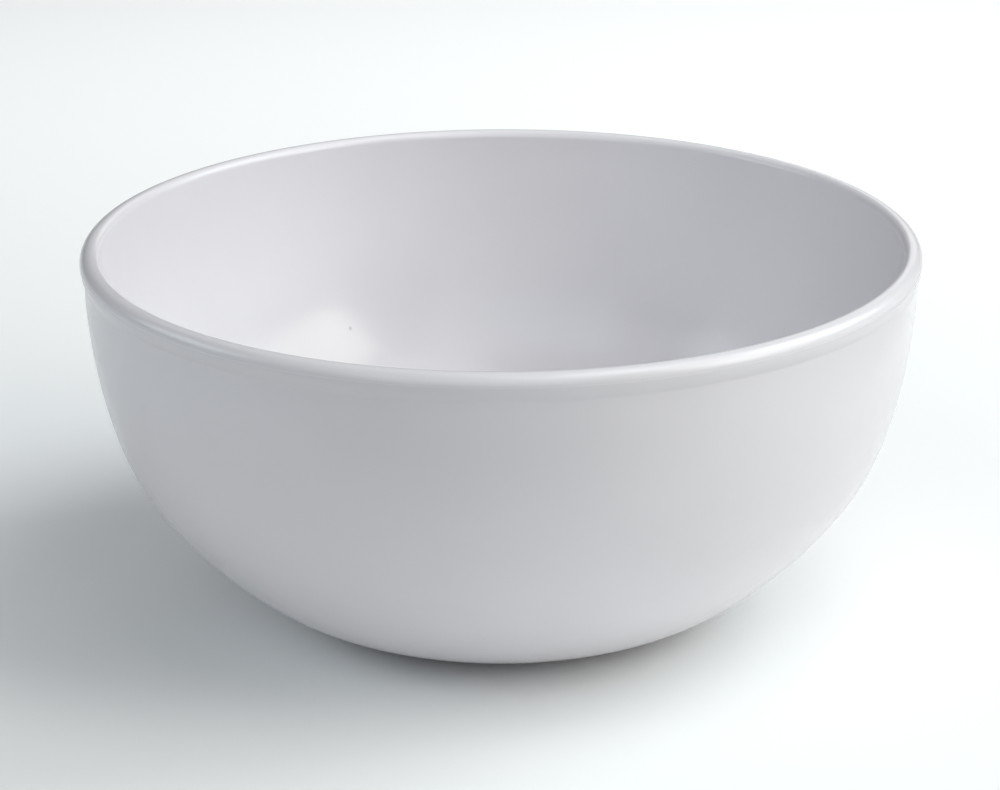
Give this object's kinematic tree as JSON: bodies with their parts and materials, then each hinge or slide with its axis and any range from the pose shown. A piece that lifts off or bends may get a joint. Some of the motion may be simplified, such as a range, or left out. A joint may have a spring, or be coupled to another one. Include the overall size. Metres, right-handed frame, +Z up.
{
  "type": "serving bowl",
  "caption": "Deep round serving bowl for chips or salad, with a rounded lip that stands slightly proud of the wall, a curved side and a low foot ring.",
  "frame": {"origin": "where the bowl's axis meets the surface that the foot stands on", "axes": "+Z up along the bowl's axis; the bowl is the same all round, so X and Y are free"},
  "size_m": [0.25, 0.25, 0.1145],
  "materials": {
    "white_melamine": "polished cool white, slightly soft gloss"
  },
  "bodies": {
    "root": {"bowl": "white_melamine"}
  },
  "joints": []
}
